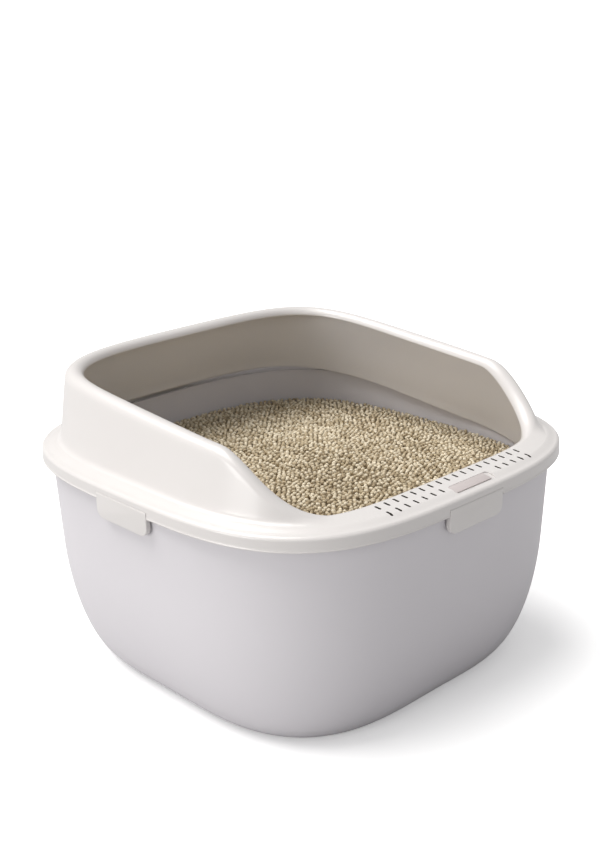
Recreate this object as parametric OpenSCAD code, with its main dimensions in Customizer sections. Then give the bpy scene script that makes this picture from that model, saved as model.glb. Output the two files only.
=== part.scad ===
/* [Overall] */
// Width across the guard's skirt
width = 440; // [380:5:500]
// Length across the guard's skirt, front to back
length = 446; // [380:2:520]
// Height of the skirt's lower edge above the floor
rim_z = 207; // [160:1:250]
// Squareness of the skirt's outline, where 2 is an ellipse
skirt_power = 3.34; // [2.6:0.02:4.2]

/* [Tub] */
// Gap between a closed latch and the tub's rim
tub_gap = 0.8; // [0.6:0.1:2.8]
// Wall and floor thickness
tub_wall = 2.6; // [2:0.1:3]
// Inward lean of the side, in mm for each mm down
tub_lean = 0.05; // [0:0.01:0.1]
// Height of the bottom's curve
bottom_rise = 123; // [80:1:130]
// Run of the bottom's curve
bottom_run = 42; // [25:1:50]
// Squareness of the tub's outline
tub_power = 3.14; // [2.6:0.02:4]
// Height of the rim above the skirt's lower edge
rim_up = 9; // [5:0.5:10]

/* [Litter] */
// Depth from the skirt's lower edge down to the litter at the wall
litter_down = 26; // [25:1:90]
// Height of the heap in the middle
heap_h = 9; // [0:1:12]
// Height of the surface's slow waves
heap_wave = 2.5; // [0:0.5:4]

/* [Splash guard] */
// Wall thickness of the guard
guard_wall = 2.5; // [2:0.1:3]
// Height of the skirt
skirt_h = 14; // [13:0.5:18]
// Radius of the rounded edge at the skirt's top
edge_r = 5; // [4:0.5:6]
// Width of the shelf between the edge and the raised wall
shelf_w = 8; // [6:0.5:12]
// Rise of the shelf across its width
shelf_rise = 3.2; // [1:0.2:5]
// Height of the raised wall above the shelf, half way along
wall_h = 61; // [45:1:90]
// Extra wall height for each mm towards the back
wall_slope = 0.07; // [0:0.01:0.1]
// Radius of the curve where the wall leaves the shelf
fillet_r = 6.7; // [5:0.1:9]
// Radius of the roll along the wall's top
roll_r = 10.3; // [7:0.1:13]
// Radius of the lip that curls down into the opening
lip_r = 8.8; // [6:0.1:10]
// Angle of the lip's curl
lip_turn = 75; // [50:1:80]
// Inset of the opening at each side
open_side = 47.7; // [44:0.1:60]
// Inset of the opening at the front
open_front = 42.7; // [38:0.1:50]
// Inset of the opening at the back
open_back = 58.7; // [48:0.1:70]
// Squareness of the opening
open_power = 5; // [3:0.1:6]
// Distance in front of the middle where the wall starts to drop
drop_start = 103; // [70:1:120]
// Distance in front of the middle where the wall has dropped away
drop_end = 200; // [160:1:205]
// Depth of the inner leg below the skirt's lower edge, half way along
leg_down = 6; // [2:0.5:10]
// Rise of the inner leg's edge for each mm towards the back
leg_slope = 0.11; // [0:0.01:0.15]
// Distance in front of the middle where the leg's edge levels off
leg_level = 130; // [100:5:140]

/* [Entry ledge] */
// Columns of slots
slot_columns = 18; // [10:1:18]
// Distance between two columns
slot_pitch = 11.2; // [8:0.1:11.2]
// Length of a slot
slot_l = 7; // [5:0.5:9]
// Width of a slot
slot_w = 2; // [1:0.1:3]
// Distance from the skirt's front to the middle of the outer row
slot_outer = 17.5; // [16:0.5:20]
// Distance from the skirt's front to the middle of the inner row
slot_inner = 30.5; // [28:0.5:34]
// Width of the blank badge plate
badge_w = 49; // [30:1:65]
// Depth of the badge plate, front to back
badge_d = 11; // [8:0.5:14]
// Offset of the badge plate towards +X
badge_x = 5.5; // [-20:0.5:20]
// Room left in the badge's recess past its +X end
badge_room = 5; // [0:0.5:8]

/* [Latches] */
// Width of a latch
latch_w = 73; // [50:1:90]
// Length of the tab below the skirt's lower edge
latch_drop = 17.5; // [12:0.5:24]
// Depth of the tab, outside to inside
latch_t = 5.2; // [4:0.1:5.4]
// Radius of the tab's lower corners
latch_corner = 9; // [4:0.5:12]
// Radius of a hinge pin
pin_r = 1.2; // [1:0.1:1.4]
// Length of the pin held at each end of a latch
pin_grip = 5; // [3:0.5:8]

/* [Clearances] */
// Seam between a latch and its notch
seam = 0.3; // [0.2:0.05:0.4]
// Radial running clearance of a latch on its pin
pin_clear = 0.06; // [0.03:0.01:0.1]
// Gap between the guard's leg and the tub's inner face
leg_gap = 0.5; // [0.4:0.1:1]
// Gap around the badge plate and around the litter
slip = 0.3; // [0.2:0.05:0.5]

/* [Hidden] */

half_w = width / 2;
half_l = length / 2;
around = 80;                         // steps around every outline
bend_steps = 10;                     // steps up the tub's curved bottom
arc_steps = 4;                       // steps along each arc of the guard's section
fillet_ease = 0.98;                  // most of a low wall's run that its two fillets take up
least_wall = 1.5;                    // height of the raised edge along the entry ledge
tub_inset = latch_t + tub_gap;       // skirt's outer face to the tub's outer face at the rim
shelf_z = skirt_h + shelf_rise;      // shelf's inner edge above the skirt's lower edge
barrel_r = latch_t / 2;              // hinge barrel at the latch's top
hinge_z = rim_z + barrel_r + 2;      // height of the hinge axis
badge_t = 1;                         // thickness of the badge plate
badge_deep = 1.6;                    // depth of the badge's recess
badge_y = edge_r + shelf_w + 0.5;    // distance from the skirt's front to the badge's middle
badge_tilt = atan2(shelf_rise, shelf_w) / 2;
SIDES = ["front", "back", "left", "right"];

// Turn about Z that takes the front (-Y) side to the named side
function side_turn(side) = side == "front" ? 0 : side == "right" ? 90 : side == "back" ? 180 : 270;
// Distance from the middle to the skirt's face on the named side
function side_reach(side) = side == "front" || side == "back" ? half_l : half_w;

// Radius at angle t of an outline with half sizes a, front and back, squared off by power n
function reach(t, a, front, back, n) =
    let (b = sin(t) < 0 ? front : back)
    pow(pow(abs(cos(t) / a), n) + pow(abs(sin(t) / b), n), -1 / n);
function skirt_reach(t) = reach(t, half_w, half_l, half_l, skirt_power);
function tub_reach(t) =
    reach(t, half_w - tub_inset, half_l - tub_inset, half_l - tub_inset, tub_power);
function smooth(t) = let (c = min(max(t, 0), 1)) c * c * (3 - 2 * c);

// Inset of the tub's outer face (thick = 0) or inner face at height z
function tub_run(z, thick) =
    let (low = (bottom_rise - z) / (bottom_rise - thick))
    tub_lean * max(rim_z - z, 0) + thick
    + (low > 0 ? (bottom_run - thick) * (1 - sqrt(max(1 - low * low, 0))) : 0);
function tub_ring(z, thick, extra = 0) = [
    for (i = [0 : around - 1])
        let (
            t = 360 * i / around,
            r = tub_reach(t) - tub_run(z, thick) - extra
        )
        [r * cos(t), r * sin(t), z]
];
function bottom_levels(thick) = [
    for (k = [0 : bend_steps])
        bottom_rise - (bottom_rise - thick) * cos(90 * k / bend_steps)
];

// Triangles between ring j and the next, for rings of n points
function band(j, k, n) = [
    for (i = [0 : n - 1], half = [0, 1])
        half == 0
            ? [j * n + i, k * n + i, j * n + (i + 1) % n]
            : [j * n + (i + 1) % n, k * n + i, k * n + (i + 1) % n]
];

// Closed solid through a stack of rings, capped at both ends
module stack(rings) {
    n = len(rings[0]);
    last = len(rings) - 1;
    polyhedron(
        points = [for (ring = rings) each ring],
        faces = [
            [for (i = [0 : n - 1]) i],
            for (j = [0 : last - 1]) each band(j, j + 1, n),
            [for (i = [n - 1 : -1 : 0]) last * n + i]
        ]
    );
}

// Closed ring through sections that run right round
module hoop(sections) {
    n = len(sections[0]);
    count = len(sections);
    polyhedron(
        points = [for (section = sections) each section],
        faces = [for (j = [0 : count - 1]) each band((j + 1) % count, j, n)]
    );
}

// Height of the litter's surface at x, y
function litter_top(x, y) =
    let (edge = smooth(1 - norm([x / half_w, y / half_l])))
    rim_z - litter_down + heap_h * edge
    + heap_wave * edge * (sin(2.1 * x) + cos(1.7 * y - x));

// Points of the guard's section at depth k in its wall, as [inset, height] from the skirt's lower
// edge: skirt and rounded edge, then fillet, then roll and lip
function skirt_rows(k) = [
    [k, 0],
    for (i = [0 : arc_steps - 1])
        let (b = 90 * i / (arc_steps - 1))
        [edge_r - (edge_r - k) * cos(b), skirt_h - edge_r + (edge_r - k) * sin(b)]
];
function fillet_rows(turn, r) = [
    for (i = [0 : arc_steps - 1])
        let (b = turn * i / (arc_steps - 1))
        [edge_r + shelf_w + r * sin(b), shelf_z + r * (1 - cos(b))]
];
function roll_rows(top_u, top_z, turn, r, k) = [
    for (i = [0 : arc_steps])
        let (b = turn * (1 - i / arc_steps))
        [top_u - (r - k) * sin(b), top_z - r + (r - k) * cos(b)],
    for (i = [1 : arc_steps])
        let (b = lip_turn * i / arc_steps)
        [top_u + (lip_r - k) * sin(b), top_z - lip_r + (lip_r - k) * cos(b)]
];
// Section at angle t. The wall's inner face runs straight down into a leg just inside the tub.
function guard_section(t) =
    let (
        out = skirt_reach(t),
        open = reach(t, half_w - open_side, half_l - open_front, half_l - open_back, open_power),
        y = (out - edge_r - shelf_w) * sin(t),
        full = wall_h + wall_slope * y,
        h = max(full * smooth((y + drop_end) / (drop_end - drop_start)), least_wall),
        run = out - open - edge_r - shelf_w - lip_r * sin(lip_turn),
        room = (run * run + h * h) / (2 * h * (fillet_r + roll_r)),
        fit = min(room * fillet_ease, 1),
        both = (fillet_r + roll_r) * fit,
        far = norm([run, h - both]),
        turn = atan2(h - both, run) + asin(both / far),
        slant = sqrt(far * far - both * both),
        top_u = edge_r + shelf_w + both * sin(turn) + slant * cos(turn),
        inner = roll_rows(top_u, shelf_z + h, turn, roll_r * fit, guard_wall),
        leg_u = out - tub_reach(t) + tub_wall + leg_gap,
        low = leg_slope * max(out * sin(t), -leg_level) - leg_down,
        lean = tub_lean * (leg_down + leg_slope * leg_level),
        face = inner[0],
        face_foot = face[0] - (face[1] - low - guard_wall) / tan(turn),
        bend_u = max(leg_u + lean + guard_wall, face_foot),
        bend_z = face[1] - (face[0] - bend_u) * tan(turn),
        rows = [
            each skirt_rows(0),
            each fillet_rows(turn, fillet_r * fit),
            each roll_rows(top_u, shelf_z + h, turn, roll_r * fit, 0),
            for (i = [len(inner) - 1 : -1 : 0]) inner[i],
            [bend_u, bend_z],
            [bend_u, low],
            [leg_u + lean, low],
            [leg_u, skirt_h - guard_wall + shelf_rise * min((leg_u - edge_r) / shelf_w, 1)],
            for (i = [len(skirt_rows(0)) - 1 : -1 : 0]) skirt_rows(guard_wall)[i]
        ]
    )
    [for (p = rows) [(out - p[0]) * cos(t), (out - p[0]) * sin(t), rim_z + p[1]]];

// Places its child, drawn with the skirt's face at y = 0, on the named side
module on_side(side) {
    rotate([0, 0, side_turn(side)]) translate([0, -side_reach(side), 0]) children();
}

// Rod along X at the hinge axis
module hinge_rod(r, l, steps = 48) {
    translate([-l / 2, barrel_r, hinge_z]) rotate([0, 90, 0]) cylinder(h = l, r = r, $fn = steps);
}

// Room for a latch: open below the hinge axis, and round above it
module latch_notch() {
    rotate([90, 0, 90])
        linear_extrude(latch_w + 2 * seam, center = true) {
            translate([barrel_r, hinge_z]) circle(r = barrel_r + seam, $fn = 32);
            translate([-skirt_h, rim_z - skirt_h])
                square([skirt_h + latch_t + seam, skirt_h + hinge_z - rim_z]);
        }
}

module slot(x, inset) {
    reach_y = (slot_l - slot_w) / 2;
    translate([x, inset - half_l, rim_z + skirt_h])
        hull()
            for (end = [-1, 1])
                translate([0, end * reach_y, 0]) cylinder(h = shelf_z, d = slot_w, $fn = 8);
}

// Block with the badge's tilt, grown by gap on each side and by room past its +X end
module badge_block(gap, room, thick) {
    translate([badge_x, badge_y - half_l, rim_z + shelf_z])
        rotate([badge_tilt, 0, 0])
            translate([-badge_w / 2 - gap, -badge_d / 2 - gap, -badge_deep])
                cube([badge_w + 2 * gap + room, badge_d + 2 * gap, thick]);
}

module tub() {
    color("#dcd8dc")
        stack([
            for (z = bottom_levels(0)) tub_ring(z, 0),
            tub_ring(rim_z, 0),
            tub_ring(rim_z + rim_up, 0),
            tub_ring(rim_z + rim_up, tub_wall),
            tub_ring(rim_z, tub_wall),
            for (k = [bend_steps : -1 : 0]) tub_ring(bottom_levels(tub_wall)[k], tub_wall)
        ]);
}

module litter_bed() {
    wall_z = rim_z - litter_down;
    low = [for (z = bottom_levels(tub_wall)) if (z < wall_z - bottom_run / 2) z];
    edge = tub_ring(wall_z, tub_wall, slip);
    color("#c8b28c")
        stack([
            for (z = low) [for (p = tub_ring(z, tub_wall, slip)) p + [0, 0, slip]],
            for (s = [1, 0.9, 0.75, 0.6, 0.45, 0.3, 0.15])
                [for (p = edge) [s * p[0], s * p[1], litter_top(s * p[0], s * p[1])]]
        ]);
}

module splash_guard() {
    ear_w = pin_grip + seam;
    first = -(slot_columns - 1) / 2 * slot_pitch;
    color("#e9e5e1")
        difference() {
            union() {
                hoop([for (i = [0 : around - 1]) guard_section(360 * i / around)]);
                for (side = SIDES)
                    on_side(side)
                        for (end = [-1, 1])
                            translate([end * (latch_w + ear_w) / 2, latch_t / 2 + seam, hinge_z])
                                cube([ear_w + 2 * seam, latch_t - 2 * seam, 2 * barrel_r], center = true);
            }
            for (side = SIDES)
                on_side(side) {
                    latch_notch();
                    hinge_rod(pin_r + pin_clear, latch_w + 2 * pin_grip);
                }
            for (i = [0 : slot_columns - 1]) {
                x = first + i * slot_pitch;
                slot(x, slot_inner);
                if (abs(x - badge_x - badge_room / 2) > (badge_w + badge_room + slot_pitch) / 2)
                    slot(x, slot_outer);
            }
            badge_block(slip, badge_room, badge_deep + shelf_z);
        }
}

module badge_plate() {
    color("#cac2c0")
        badge_block(0, 0, badge_t);
}

// Front view of a latch below the hinge: a tab with rounded lower corners
module latch_outline() {
    half = latch_w / 2;
    polygon([
        [-half, hinge_z],
        for (a = [180 : 7.5 : 270])
            [latch_corner * (1 + cos(a)) - half, rim_z - latch_drop + latch_corner * (1 + sin(a))],
        for (a = [270 : 7.5 : 360])
            [half - latch_corner * (1 - cos(a)), rim_z - latch_drop + latch_corner * (1 + sin(a))],
        [half, hinge_z]
    ]);
}

module latch(side) {
    color("#dedadb")
        on_side(side)
            difference() {
                union() {
                    translate([0, latch_t, 0])
                        rotate([90, 0, 0]) linear_extrude(latch_t) latch_outline();
                    hinge_rod(barrel_r, latch_w);
                }
                hinge_rod(pin_r + pin_clear, latch_w + 2);
            }
}

module latch_pin(side) {
    color("#c4c4c6")
        on_side(side)
            hinge_rod(pin_r, latch_w + 2 * pin_grip - 2 * slip);
}

tub();
litter_bed();
splash_guard();
badge_plate();
latch("front");  // latch_front
latch("back");  // latch_back
latch("left");  // latch_left
latch("right");  // latch_right
latch_pin("front");  // pin_front
latch_pin("back");  // pin_back
latch_pin("left");  // pin_left
latch_pin("right");  // pin_right
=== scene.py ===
"""A cat litter box with a lift-off splash guard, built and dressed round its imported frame."""

import logging
import math
from dataclasses import dataclass
from enum import Enum

import bmesh
import bpy
from bmesh.types import BMEdge, BMesh, BMVert
from bpy.types import Material, Node, NodeSocket, NodeTree, Object
from mathutils import Matrix, Vector
from mathutils.noise import noise


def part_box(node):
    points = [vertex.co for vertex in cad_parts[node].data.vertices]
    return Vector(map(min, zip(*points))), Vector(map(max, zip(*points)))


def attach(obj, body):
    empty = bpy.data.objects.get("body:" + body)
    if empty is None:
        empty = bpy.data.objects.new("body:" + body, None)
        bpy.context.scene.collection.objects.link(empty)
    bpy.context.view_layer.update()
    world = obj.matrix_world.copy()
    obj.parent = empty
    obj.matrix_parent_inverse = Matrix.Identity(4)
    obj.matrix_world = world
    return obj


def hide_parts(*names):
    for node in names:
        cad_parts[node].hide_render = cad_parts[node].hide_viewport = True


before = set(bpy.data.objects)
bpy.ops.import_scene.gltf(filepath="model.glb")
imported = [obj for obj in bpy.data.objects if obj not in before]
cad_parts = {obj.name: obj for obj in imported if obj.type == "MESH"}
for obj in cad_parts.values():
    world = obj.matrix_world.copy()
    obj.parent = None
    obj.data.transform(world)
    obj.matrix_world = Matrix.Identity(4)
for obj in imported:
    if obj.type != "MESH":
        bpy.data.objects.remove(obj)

LOG = logging.getLogger("litter_box")
TINT = "tint"
QUARTER = math.pi / 2
TINY = 1e-6
SHELF_WIDTH = 0.008
SHELF_RISE = 0.0032
Point = tuple[float, float]
Triple = tuple[float, float, float]
Colour = tuple[float, float, float, float]


class Side(Enum):
    """A side of the box, as the turn about Z that takes the front (-Y) side to it."""

    FRONT = 0
    RIGHT = 90
    BACK = 180
    LEFT = 270

    @property
    def label(self) -> str:
        """The side's name in the frame's node and body names."""
        return self.name.lower()

    @property
    def turn(self) -> Matrix:
        """The matrix that carries a piece from the front to this side."""
        return Matrix.Rotation(math.radians(self.value), 4, "Z")


def smooth_step(value: float) -> float:
    """Ease from 0 to 1 with level ends."""
    clipped = min(max(value, 0.0), 1.0)
    return clipped * clipped * (3.0 - 2.0 * clipped)


def arc(centre: Point, radius: float, start: float, end: float, steps: int) -> list[Point]:
    """Points along an arc.

    Args:
        centre: Middle of the arc.
        radius: Radius of the arc.
        start: Angle of the first point, in degrees.
        end: Angle of the last point, in degrees.
        steps: Number of steps between them.

    Returns:
        The points, both ends included.
    """
    points = []
    for step in range(steps + 1):
        angle = math.radians(start + (end - start) * step / steps)
        points.append((centre[0] + radius * math.cos(angle), centre[1] + radius * math.sin(angle)))
    return points


def along(start: Point, end: Point, steps: int) -> list[Point]:
    """Points along a straight line.

    Args:
        start: One end of the line.
        end: The other end.
        steps: Number of steps between them.

    Returns:
        The points, without the ends.
    """
    return [
        (start[0] + (end[0] - start[0]) * k / steps, start[1] + (end[1] - start[1]) * k / steps)
        for k in range(1, steps)
    ]


def around(turn: float, reach: float, z: float) -> Vector:
    """Point at an angle in radians, a distance from the middle and a height."""
    return Vector((reach * math.cos(turn), reach * math.sin(turn), z))


@dataclass(frozen=True)
class Outline:
    """A squared-off oval, seen from above."""

    half_width: float
    front: float
    back: float
    power: float

    def reach(self, turn: float) -> float:
        """Distance from the middle to the outline.

        Args:
            turn: Angle about the middle, in radians.

        Returns:
            The distance in metres.
        """
        length = self.front if math.sin(turn) < 0.0 else self.back
        across = abs(math.cos(turn) / self.half_width) ** self.power
        onward = abs(math.sin(turn) / length) ** self.power
        return (across + onward) ** (-1.0 / self.power)


@dataclass(frozen=True)
class BoxPlan:
    """Sizes that the tub and the guard share, in metres."""

    half_width: float
    half_length: float
    rim_z: float
    rim_up: float = 0.009
    tub_inset: float = 0.006
    tub_wall: float = 0.0026
    tub_lean: float = 0.05
    skirt_power: float = 3.34
    tub_power: float = 3.14
    steps_around: int = 256

    @classmethod
    def from_frame(cls) -> "BoxPlan":
        """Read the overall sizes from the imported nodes.

        Returns:
            The plan.
        """
        _, guard_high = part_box("splash_guard")
        _, tub_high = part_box("tub")
        return cls(guard_high.x, guard_high.y, tub_high.z - cls.rim_up)

    @property
    def skirt(self) -> Outline:
        """Outline of the guard's skirt."""
        return Outline(self.half_width, self.half_length, self.half_length, self.skirt_power)

    @property
    def tub(self) -> Outline:
        """Outline of the tub's outer face at its rim."""
        length = self.half_length - self.tub_inset
        return Outline(self.half_width - self.tub_inset, length, length, self.tub_power)

    def turns(self) -> list[float]:
        """Angles of the sections around the box, in radians."""
        return [math.tau * step / self.steps_around for step in range(self.steps_around)]


class Loft:
    """A mesh made by walking a ring of vertices from one outline to the next."""

    def __init__(self, points: list[Vector]) -> None:
        """Start with one ring of vertices.

        Args:
            points: Where the vertices go.
        """
        self.mesh: BMesh = bmesh.new()
        self.ring: list[BMVert] = bmesh.ops.create_circle(
            self.mesh, segments=len(points), radius=1.0
        )["verts"]
        self.first = self.ring
        self._place(points)

    @classmethod
    def through(cls, rings: list[list[Vector]], capped: bool) -> BMesh:
        """Walk through every ring.

        Args:
            rings: The rings' points, as many in each.
            capped: Close both ends with a face. If not, join the last ring to the first.

        Returns:
            The mesh.
        """
        loft = cls(rings[0])
        if capped:
            loft._cap()
        for points in rings[1:]:
            loft._step(points)
        if capped:
            loft._cap()
        else:
            loft._join_ends()
        return loft.mesh

    def _place(self, points: list[Vector]) -> None:
        """Put the current ring's vertices at the given points."""
        for vert, point in zip(self.ring, points):
            vert.co = point

    def _step(self, points: list[Vector]) -> None:
        """Extrude the current ring.

        Args:
            points: Where the new ring goes.
        """
        made = bmesh.ops.extrude_edge_only(self.mesh, edges=self._edges(self.ring))
        fresh = {item for item in made["geom"] if isinstance(item, BMVert)}
        self.ring = [
            next(other for edge in vert.link_edges if (other := edge.other_vert(vert)) in fresh)
            for vert in self.ring
        ]
        self._place(points)

    def _cap(self) -> None:
        """Close the current ring with one face."""
        bmesh.ops.contextual_create(self.mesh, geom=self._edges(self.ring))

    def _join_ends(self) -> None:
        """Bridge the last ring to the first."""
        edges = self._edges(self.ring) + self._edges(self.first)
        bmesh.ops.bridge_loops(self.mesh, edges=edges)

    def _edges(self, ring: list[BMVert]) -> list[BMEdge]:
        """Edges that run round a ring."""
        return [self.mesh.edges.get((vert, ring[index - 1])) for index, vert in enumerate(ring)]


def into_object(name: str, mesh: BMesh, finish: Material, crease: float = 40.0) -> Object:
    """Turn a bmesh into a smooth-shaded object at the origin.

    Args:
        name: Name of the object.
        mesh: The bmesh, which is freed.
        finish: Material of the object.
        crease: Angle in degrees above which an edge stays sharp.

    Returns:
        The new object, linked to the scene.
    """
    bmesh.ops.recalc_face_normals(mesh, faces=mesh.faces)
    data = bpy.data.meshes.new(name)
    mesh.to_mesh(data)
    mesh.free()
    data.materials.append(finish)
    data.shade_smooth()
    data.set_sharp_from_angle(angle=math.radians(crease))
    piece = bpy.data.objects.new(name, data)
    bpy.context.scene.collection.objects.link(piece)
    return piece


def bake(piece: Object, crease: float = 40.0) -> None:
    """Apply every modifier on a piece, and mark its sharp edges again.

    Args:
        piece: The piece.
        crease: Angle in degrees above which an edge stays sharp.
    """
    graph = bpy.context.evaluated_depsgraph_get()
    graph.update()
    data = bpy.data.meshes.new_from_object(piece.evaluated_get(graph))
    piece.modifiers.clear()
    piece.data = data
    data.shade_smooth()
    data.set_sharp_from_angle(angle=math.radians(crease))


def cut(piece: Object, tool: BMesh, finish: Material | None = None) -> None:
    """Take a tool's solids out of a piece.

    Args:
        piece: The piece to cut.
        tool: The solids to remove, which are freed.
        finish: Material of the cut faces, if it differs from the piece's own.
    """
    cutter = into_object("cutter", tool, finish or piece.data.materials[0])
    modifier = piece.modifiers.new("cut", "BOOLEAN")
    modifier.operation = "DIFFERENCE"
    modifier.solver = "EXACT"
    modifier.material_mode = "TRANSFER"
    modifier.object = cutter
    bake(piece)
    bpy.data.objects.remove(cutter)


def soften(mesh: BMesh, edges: list[BMEdge], width: float, steps: int) -> None:
    """Round off edges of a bmesh.

    Args:
        mesh: The bmesh.
        edges: The edges to round.
        width: Width of the rounding.
        steps: Number of steps across it.
    """
    bmesh.ops.bevel(
        mesh, geom=edges, offset=width, affect="EDGES", segments=steps, profile=0.5, material=-1
    )


def add_block(mesh: BMesh, low: Vector, high: Vector, place: Matrix, edge: float = 0.0) -> None:
    """Add a box with softened edges to a bmesh.

    Args:
        mesh: The bmesh to add to.
        low: Lowest corner.
        high: Highest corner.
        place: Matrix that carries the box to its place.
        edge: Width of the edges' rounding.
    """
    matrix = place @ Matrix.Translation((low + high) / 2) @ Matrix.Diagonal(high - low).to_4x4()
    verts = bmesh.ops.create_cube(mesh, size=1.0, matrix=matrix)["verts"]
    if edge > 0.0:
        soften(mesh, list({link for vert in verts for link in vert.link_edges}), edge, 2)


class Wiring:
    """Short ways to add nodes to a node tree."""

    def __init__(self, tree: NodeTree) -> None:
        """Take the tree to add to."""
        self.tree = tree

    def put(self, target: NodeSocket, value: object) -> None:
        """Feed an input.

        Args:
            target: The input.
            value: A socket to link to it, or its value.
        """
        if isinstance(value, NodeSocket):
            self.tree.links.new(value, target)
        else:
            target.default_value = value

    def fill(self, node: Node, values: dict[str, object]) -> Node:
        """Feed a node's inputs.

        Args:
            node: The node.
            values: Sockets or values, by the inputs' names.

        Returns:
            The same node.
        """
        for label, value in values.items():
            self.put(node.inputs[label], value)
        return node

    def add(self, kind: str, values: dict[str, object]) -> Node:
        """Add a node with its inputs fed."""
        return self.fill(self.tree.nodes.new(kind), values)

    def maths(self, kind: str, *values: object) -> NodeSocket:
        """Add a math node.

        Args:
            kind: Its operation.
            *values: Its inputs in order, as sockets or numbers.

        Returns:
            Its output.
        """
        node = self.tree.nodes.new("ShaderNodeMath")
        node.operation = kind
        for slot, value in enumerate(values):
            self.put(node.inputs[slot], value)
        return node.outputs["Value"]

    def span(self, source: NodeSocket, low: float, high: float) -> NodeSocket:
        """Map a mask onto a range.

        Args:
            source: The mask, from 0 to 1.
            low: Value where the mask is 0.
            high: Value where the mask is 1.

        Returns:
            The mapped value.
        """
        values = {"Value": source, "To Min": low, "To Max": high}
        return self.add("ShaderNodeMapRange", values).outputs["Result"]

    def ramp(self, mask: NodeSocket, low: Colour, high: Colour) -> Node:
        """Add a two-stop colour ramp.

        Args:
            mask: What drives the ramp.
            low: Colour where the mask is 0.
            high: Colour where the mask is 1.

        Returns:
            The ramp's node.
        """
        ramp = self.add("ShaderNodeValToRGB", {"Fac": mask})
        for stop, colour in zip(ramp.color_ramp.elements, (low, high)):
            stop.color = colour
        return ramp


class GroupWiring(Wiring):
    """A shader group with float inputs, one float output and Object coordinates."""

    def __init__(self, name: str, inputs: dict[str, float], output: str) -> None:
        """Make the empty group.

        Args:
            name: Name of the group.
            inputs: Default values of its inputs, by name.
            output: Name of its output.
        """
        super().__init__(bpy.data.node_groups.new(name, "ShaderNodeTree"))
        face = self.tree.interface
        for label, value in inputs.items():
            socket = face.new_socket(label, in_out="INPUT", socket_type="NodeSocketFloat")
            socket.default_value = value
        face.new_socket(output, in_out="OUTPUT", socket_type="NodeSocketFloat")
        self.entry = self.tree.nodes.new("NodeGroupInput")
        self.leave = self.tree.nodes.new("NodeGroupOutput")
        self.where = self.tree.nodes.new("ShaderNodeTexCoord")

    def noise(self, scale: float, detail: float, where: NodeSocket | None = None) -> NodeSocket:
        """Add a noise texture.

        Args:
            scale: Scale of the noise.
            detail: Detail of the noise.
            where: Coordinates, if they aren't the Object coordinates.

        Returns:
            The noise's value.
        """
        vector = self.where.outputs["Object"] if where is None else where
        values = {"Scale": scale, "Detail": detail, "Vector": vector}
        return self.add("ShaderNodeTexNoise", values).outputs["Fac"]

    def scaled(self, value: NodeSocket, label: str) -> NodeSocket:
        """Multiply a value by one of the group's inputs."""
        return self.maths("MULTIPLY", value, self.entry.outputs[label])

    def finish(self, value: NodeSocket) -> NodeTree:
        """Feed the group's output and return the group."""
        self.put(self.leave.inputs[0], value)
        return self.tree


class ShaderKit:
    """Node groups that several finishes share, with each noise as its scale and detail."""

    fine_noise: Point = (1500.0, 2.0)
    peel_noise: Point = (90.0, 1.0)
    patch_noise: Point = (14.0, 5.0)
    scratch_noise: Point = (60.0, 6.0)
    scratch_stretch: Triple = (1.0, 14.0, 3.0)
    scratch_turn: Triple = (0.2, 0.1, 0.7)
    scratch_share: float = 0.66
    speck_noise: Point = (420.0, 3.0)
    speck_share: float = 0.62
    upward_power: float = 3.0
    slow_noise: Point = (5.0, 3.0)
    mottle_noise: Point = (60.0, 4.0)
    mottle_share: float = 0.35

    def __init__(self) -> None:
        """Build each group once."""
        self.grain = self._moulded_grain()
        self.wear = self._surface_wear()
        self.tone = self._tone_drift()

    def _moulded_grain(self) -> NodeTree:
        """Height of a moulded skin: fine spark-eroded grain over a slow orange peel.

        Returns:
            The group.
        """
        group = GroupWiring("moulded_grain", {"Fine": 1.0, "Peel": 1.0}, "Height")
        fine = group.scaled(group.noise(*self.fine_noise), "Fine")
        peel = group.scaled(group.noise(*self.peel_noise), "Peel")
        return group.finish(group.maths("ADD", fine, peel))

    def _surface_wear(self) -> NodeTree:
        """Mask of faint rubbed patches, hairline scratches and dust on faces that look up.

        Returns:
            The group.
        """
        inputs = {"Rub": 0.3, "Scratch": 0.3, "Dust": 0.3}
        group = GroupWiring("surface_wear", inputs, "Roughness")
        rub = group.scaled(group.noise(*self.patch_noise), "Rub")
        stretch = group.add("ShaderNodeMapping", {
            "Scale": self.scratch_stretch,
            "Rotation": self.scratch_turn,
            "Vector": group.where.outputs["Object"],
        })
        lines = group.noise(*self.scratch_noise, stretch.outputs["Vector"])
        scratch = group.scaled(group.maths("GREATER_THAN", lines, self.scratch_share), "Scratch")
        shape = group.tree.nodes.new("ShaderNodeNewGeometry")
        split = group.add("ShaderNodeSeparateXYZ", {"Vector": shape.outputs["Normal"]})
        upward = group.maths("MAXIMUM", split.outputs["Z"], 0.0)
        specks = group.maths("GREATER_THAN", group.noise(*self.speck_noise), self.speck_share)
        settled = group.maths("MULTIPLY", group.maths("POWER", upward, self.upward_power), specks)
        dust = group.scaled(settled, "Dust")
        return group.finish(group.maths("ADD", group.maths("ADD", rub, scratch), dust))

    def _tone_drift(self) -> NodeTree:
        """Mask of the slow drift of a moulding's colour.

        Returns:
            The group.
        """
        group = GroupWiring("tone_drift", {"Amount": 1.0}, "Mask")
        slow = group.noise(*self.slow_noise)
        mottle = group.maths("MULTIPLY", group.noise(*self.mottle_noise), self.mottle_share)
        return group.finish(group.scaled(group.maths("ADD", slow, mottle), "Amount"))


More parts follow.
